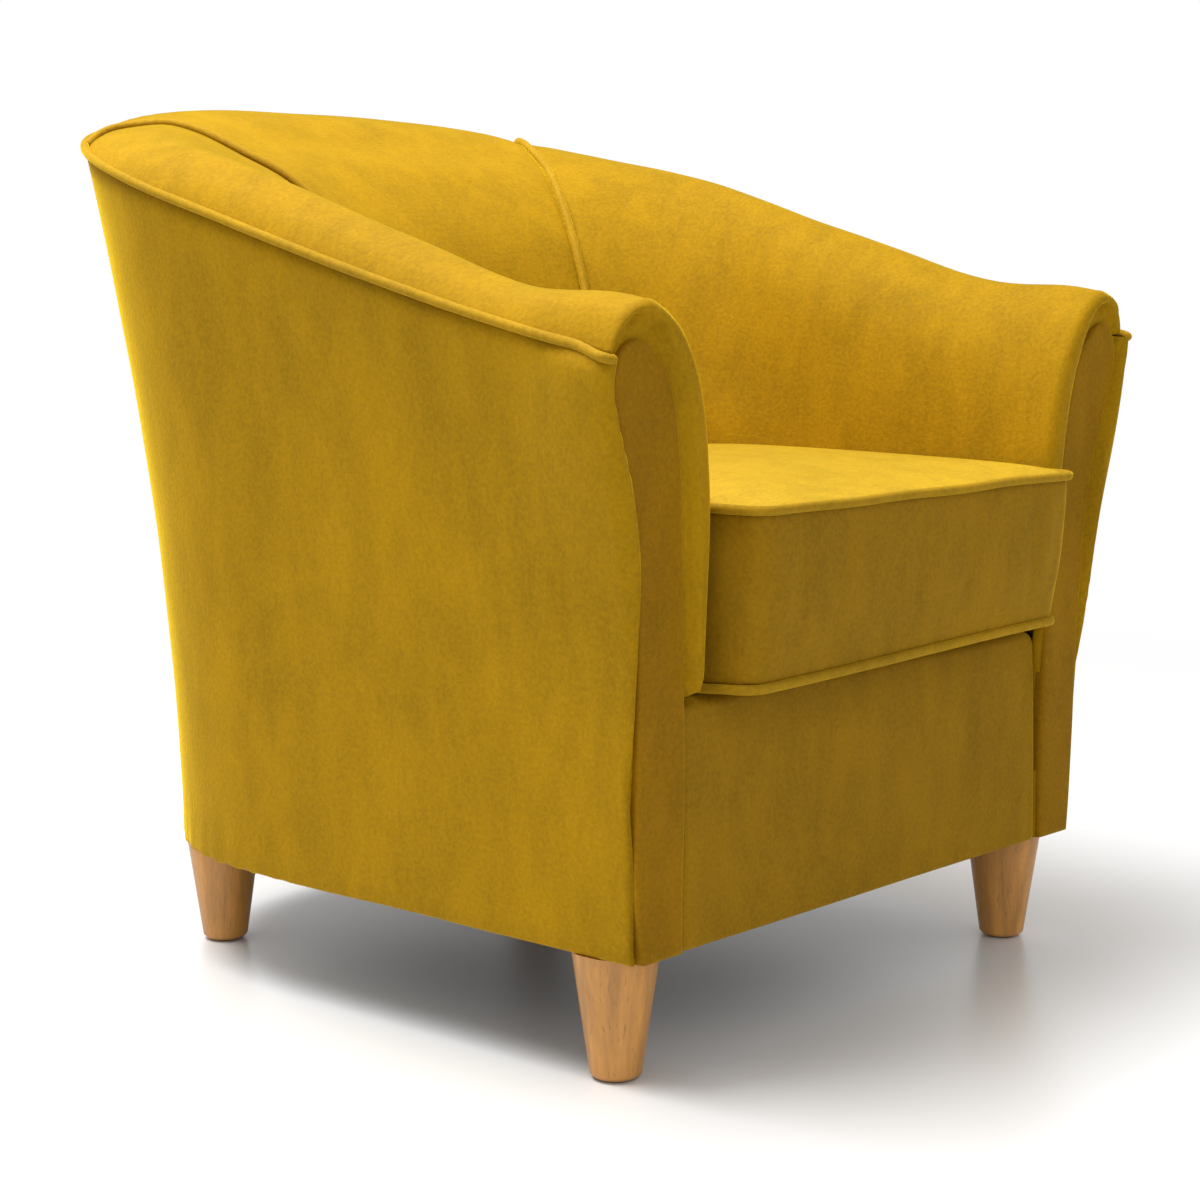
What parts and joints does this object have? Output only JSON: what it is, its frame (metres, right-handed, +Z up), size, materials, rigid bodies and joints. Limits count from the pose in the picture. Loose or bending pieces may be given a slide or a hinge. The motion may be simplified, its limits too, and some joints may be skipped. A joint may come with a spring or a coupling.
{
  "type": "tub chair",
  "caption": "Upholstered tub chair with a wrap-around rolled back and arms, piped seams, a loose seat cushion and round tapered wooden legs.",
  "frame": {"origin": "middle of the footprint, on the floor", "axes": "+Z up, the sitter faces -Y, and the chair's own left, as seen from in front of it, is -X"},
  "size_m": [0.754, 0.8575, 0.7979],
  "materials": {
    "dust_cloth": "black non-woven cloth",
    "fastener_steel": "zinc-plated steel",
    "foam": null,
    "frame_wood": "raw solid wood",
    "glide_plastic": "hard plastic",
    "leg_wood": "turned wood, satin lacquer",
    "lining_cloth": "plain woven cloth",
    "plywood": "raw plywood",
    "stiff_board": "stiff fibre board",
    "velvet": "short-pile velvet, mustard yellow",
    "velvet_facing": "short-pile velvet, brushed darker",
    "velvet_piping": "velvet-covered cord",
    "velvet_seat": "short-pile velvet, brushed lighter",
    "velvet_shade": "short-pile velvet, brushed darker",
    "wadding": "soft fibre wadding",
    "webbing": "woven elastic webbing",
    "zip_metal": "plated metal",
    "zip_tape": "woven tape with nylon teeth"
  },
  "bodies": {
    "chair": {"arm_facing_left": "velvet_facing", "arm_facing_right": "velvet_facing", "arm_foam_left": "foam", "arm_foam_right": "foam", "arm_former_left": "plywood", "arm_former_right": "plywood", "arm_front_board_left": "plywood", "arm_front_board_right": "plywood", "back_foam": "foam", "back_former_left": "plywood", "back_former_right": "plywood", "back_straps": "webbing", "base_plate_back": "plywood", "base_plate_front": "plywood", "base_plate_left": "plywood", "base_plate_right": "plywood", "corner_former_left": "plywood", "corner_former_right": "plywood", "dust_cover": "dust_cloth", "front_board": "frame_wood", "front_border": "velvet_shade", "front_border_pad": "wadding", "inside_arm_left": "velvet", "inside_arm_right": "velvet", "inside_back": "velvet", "leg_front_left": "leg_wood", "leg_front_right": "leg_wood", "leg_glides": "glide_plastic", "leg_hanger_bolts": "fastener_steel", "leg_rear_left": "leg_wood", "leg_rear_right": "leg_wood", "leg_tee_nuts": "fastener_steel", "outside_arm_board_left": "stiff_board", "outside_arm_board_right": "stiff_board", "outside_arm_left": "velvet", "outside_arm_right": "velvet", "outside_back": "velvet", "outside_back_board": "stiff_board", "rim_piping": "velvet_piping", "seam_piping_left": "velvet_piping", "seam_piping_right": "velvet_piping", "seat_deck": "lining_cloth", "seat_deck_pad": "wadding", "seat_rail_back": "frame_wood", "seat_rail_front": "frame_wood", "seat_rail_left": "frame_wood", "seat_rail_right": "frame_wood", "seat_straps_cross": "webbing", "seat_straps_long": "webbing", "top_rail_back": "frame_wood", "top_rail_left": "frame_wood", "top_rail_right": "frame_wood"},
    "seat_cushion": {"cushion_core": "foam", "cushion_top": "velvet_seat", "cushion_bottom": "lining_cloth", "cushion_border": "velvet_shade", "cushion_piping_top": "velvet_piping", "cushion_piping_bottom": "velvet_piping", "zip_tape": "zip_tape"},
    "zip_slider": {"zip_slider": "zip_metal"}
  },
  "joints": [
    {"name": "cushion_lift_off", "type": "slide", "parent": "chair", "child": "seat_cushion", "axis": [0, 0, 1], "range_m": [0, 0.55]},
    {"name": "zip_slider_travel", "type": "hinge", "parent": "seat_cushion", "child": "zip_slider", "pos_m": [0, -0.34745, 0.386], "axis": [0, 0, 1], "range_deg": [0, 22]}
  ]
}
